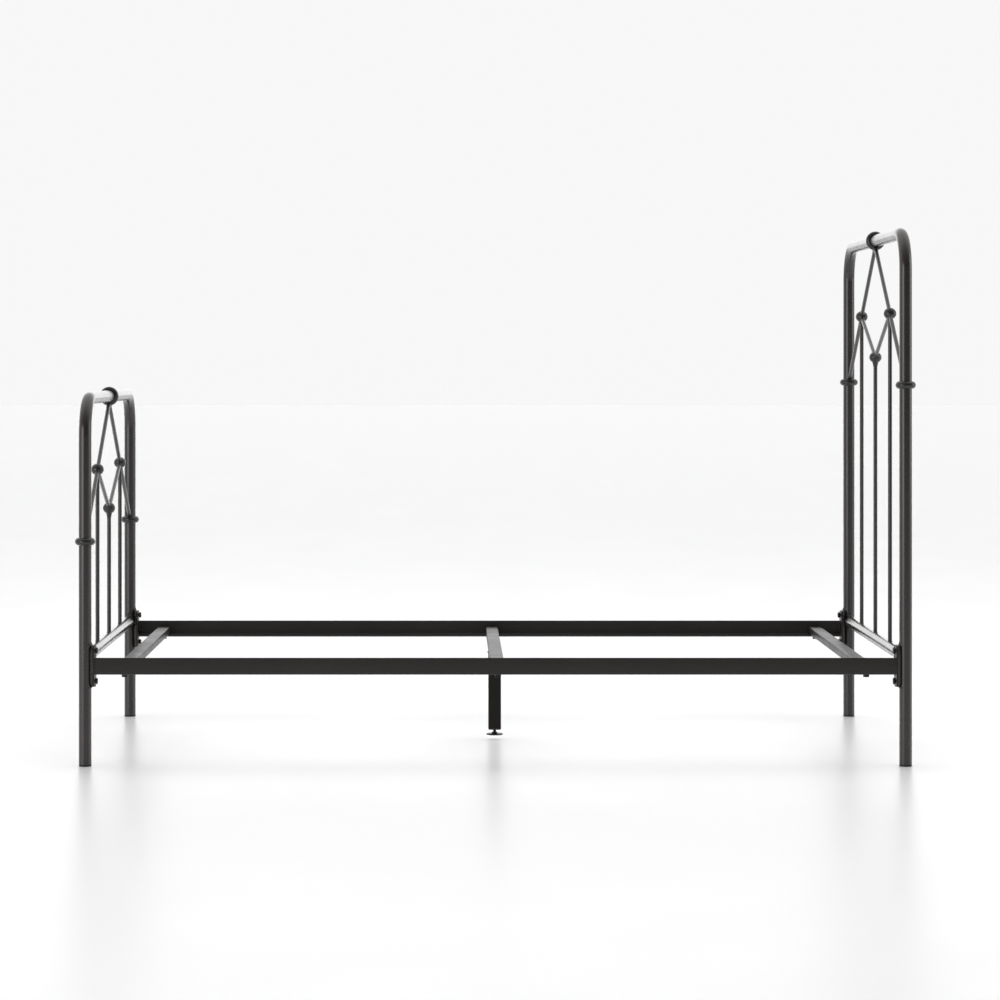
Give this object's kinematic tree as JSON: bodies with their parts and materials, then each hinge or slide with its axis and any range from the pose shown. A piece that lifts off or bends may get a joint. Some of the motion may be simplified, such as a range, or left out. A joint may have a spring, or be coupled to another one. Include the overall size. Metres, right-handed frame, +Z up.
{
  "type": "metal bed frame",
  "caption": "Single bed frame with hooped tube head and foot panels, crossed rods with cast balls, bolted angle side rails, cross slats and an adjustable centre leg.",
  "frame": {"origin": "middle of the bed on the floor: the centre of the bounding box's bottom face", "axes": "+X along the bed towards the headboard, +Y across the bed towards the right side as a sleeper on the back would say, +Z up"},
  "size_m": [1.988, 1.048, 1.286],
  "materials": {
    "frame_paint": "dark bronze-black satin enamel",
    "cast_paint": "the same enamel over cast iron, slightly grainier",
    "rail_paint": "black semi-matt enamel",
    "bolt_steel": "blackened steel",
    "glide_plastic": "black moulded plastic"
  },
  "bodies": {
    "frame": {"head_hoop_tube": "frame_paint", "head_cross_tube": "frame_paint", "head_top_ring": "cast_paint", "head_middle_knuckle": "cast_paint", "head_middle_spindle": "frame_paint", "head_left_collar": "cast_paint", "head_left_knuckle": "cast_paint", "head_left_long_rod": "frame_paint", "head_left_inner_rod": "frame_paint", "head_left_spindle": "frame_paint", "head_left_rail_bracket": "frame_paint", "head_left_glide": "glide_plastic", "head_left_lower_bolt": "bolt_steel", "head_left_upper_bolt": "bolt_steel", "head_right_collar": "cast_paint", "head_right_knuckle": "cast_paint", "head_right_long_rod": "frame_paint", "head_right_inner_rod": "frame_paint", "head_right_spindle": "frame_paint", "head_right_rail_bracket": "frame_paint", "head_right_glide": "glide_plastic", "head_right_lower_bolt": "bolt_steel", "head_right_upper_bolt": "bolt_steel", "foot_hoop_tube": "frame_paint", "foot_cross_tube": "frame_paint", "foot_top_ring": "cast_paint", "foot_middle_knuckle": "cast_paint", "foot_middle_spindle": "frame_paint", "foot_left_collar": "cast_paint", "foot_left_knuckle": "cast_paint", "foot_left_long_rod": "frame_paint", "foot_left_inner_rod": "frame_paint", "foot_left_spindle": "frame_paint", "foot_left_rail_bracket": "frame_paint", "foot_left_glide": "glide_plastic", "foot_left_lower_bolt": "bolt_steel", "foot_left_upper_bolt": "bolt_steel", "foot_right_collar": "cast_paint", "foot_right_knuckle": "cast_paint", "foot_right_long_rod": "frame_paint", "foot_right_inner_rod": "frame_paint", "foot_right_spindle": "frame_paint", "foot_right_rail_bracket": "frame_paint", "foot_right_glide": "glide_plastic", "foot_right_lower_bolt": "bolt_steel", "foot_right_upper_bolt": "bolt_steel", "left_side_rail": "rail_paint", "foot_end_left_slat_bolt": "bolt_steel", "middle_left_slat_bolt": "bolt_steel", "head_end_left_slat_bolt": "bolt_steel", "right_side_rail": "rail_paint", "foot_end_right_slat_bolt": "bolt_steel", "middle_right_slat_bolt": "bolt_steel", "head_end_right_slat_bolt": "bolt_steel", "foot_end_slat": "rail_paint", "middle_slat_with_leg": "rail_paint", "head_end_slat": "rail_paint", "centre_leg_plug": "glide_plastic"},
    "stud": {"levelling_stud": "bolt_steel"},
    "foot": {"levelling_foot": "bolt_steel"}
  },
  "joints": [
    {"name": "foot_travel", "type": "slide", "parent": "frame", "child": "stud", "axis": [0, 0, -1], "range_m": [-0.005, 0.0125]},
    {"name": "foot_spin", "type": "hinge", "parent": "stud", "child": "foot", "pos_m": [0.006, 0, 0.014], "axis": [0, 0, -1], "range_deg": [-1440, 3600]}
  ],
  "couplings": [
    {"joint": "foot_travel", "follows": "foot_spin", "m_per_rad": 0.00019894}
  ]
}
